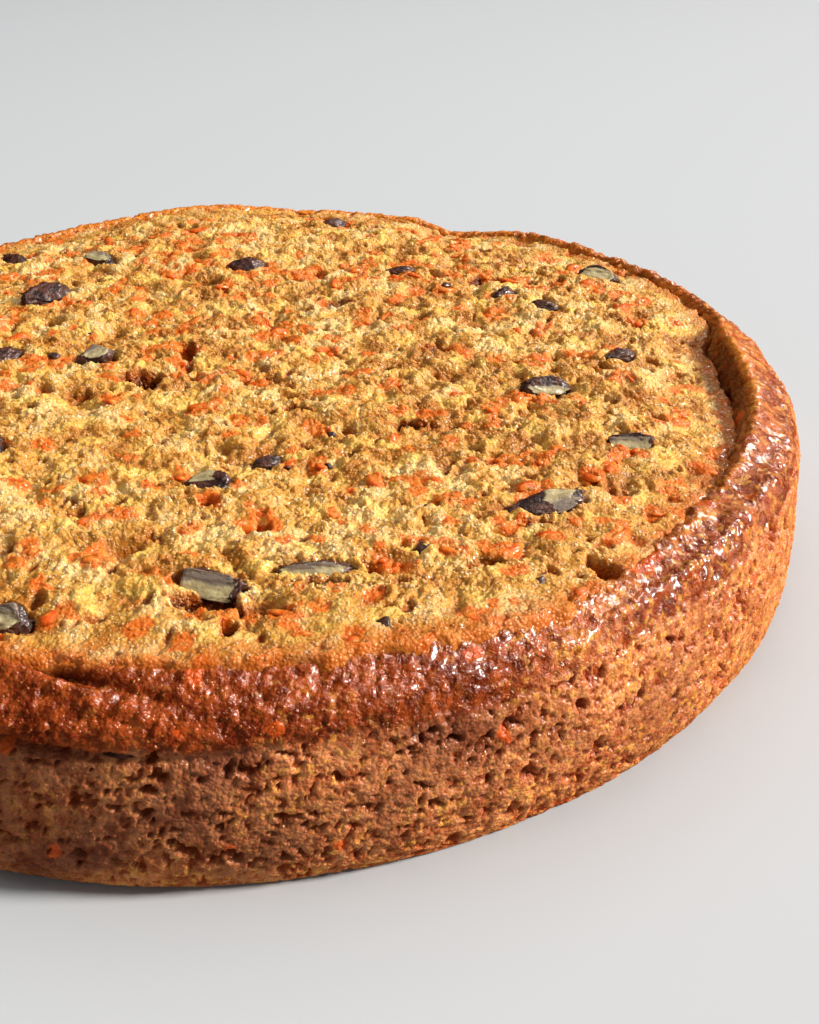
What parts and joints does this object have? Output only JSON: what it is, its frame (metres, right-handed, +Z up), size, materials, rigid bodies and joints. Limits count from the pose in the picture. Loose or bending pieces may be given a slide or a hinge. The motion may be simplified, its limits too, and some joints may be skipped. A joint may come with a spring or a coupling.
{
  "type": "carrot cake layer",
  "caption": "Round levelled carrot cake layer with an open granular crumb on top, walnut pieces set in it, and a browned crust around the side.",
  "frame": {"origin": "middle of the flat base, at the centre of the cake's outline", "axes": "+Z up out of the cut face, -Y towards the side seen from the front, +X to its right"},
  "size_m": [0.2286, 0.2274, 0.0416],
  "materials": {
    "cake": "open crumb, browned glossy crust",
    "walnut": "dark oily skin, pale flesh"
  },
  "bodies": {
    "root": {"cake": "cake", "walnut_01": "walnut", "walnut_02": "walnut", "walnut_03": "walnut", "walnut_04": "walnut", "walnut_05": "walnut", "walnut_06": "walnut", "walnut_07": "walnut", "walnut_08": "walnut", "walnut_09": "walnut", "walnut_10": "walnut", "walnut_11": "walnut", "walnut_12": "walnut", "walnut_13": "walnut", "walnut_14": "walnut", "walnut_15": "walnut", "walnut_16": "walnut", "walnut_17": "walnut", "walnut_18": "walnut", "walnut_19": "walnut", "walnut_20": "walnut", "walnut_21": "walnut", "walnut_22": "walnut", "walnut_23": "walnut", "walnut_24": "walnut", "walnut_25": "walnut"}
  },
  "joints": []
}
